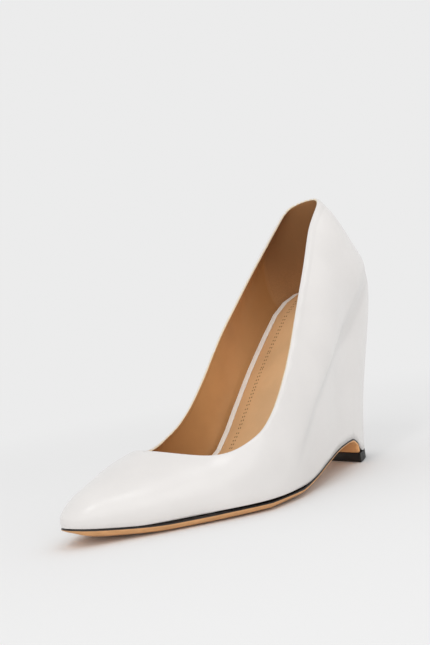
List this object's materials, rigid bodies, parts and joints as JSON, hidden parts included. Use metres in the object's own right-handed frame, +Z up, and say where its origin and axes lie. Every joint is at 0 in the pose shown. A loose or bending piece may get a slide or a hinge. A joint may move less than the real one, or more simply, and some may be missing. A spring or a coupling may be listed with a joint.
{
  "type": "wedge heel pump",
  "caption": "Left women's court shoe with a pointed closed toe and a deep throat, on a high leather-covered wedge with a small arch cut out ahead of its base.",
  "frame": {"origin": "under the middle of the shoe's box, on the floor", "axes": "+X from the toe towards the heel, -Y the outer side of the left foot, +Z up from the floor"},
  "size_m": [0.2146, 0.0878, 0.1492],
  "materials": {
    "white_leather": "smooth satin",
    "sole_leather": "polished tan with a black painted edge",
    "wedge_core": "matte",
    "black_rubber": "matte",
    "insole_binding": "smooth satin",
    "sock_leather": "smooth satin"
  },
  "bodies": {
    "root": {"upper": "white_leather", "outsole": "sole_leather", "wedge_heel": "wedge_core", "top_piece": "black_rubber", "insole": "insole_binding", "sock_lining": "sock_leather"}
  },
  "joints": []
}
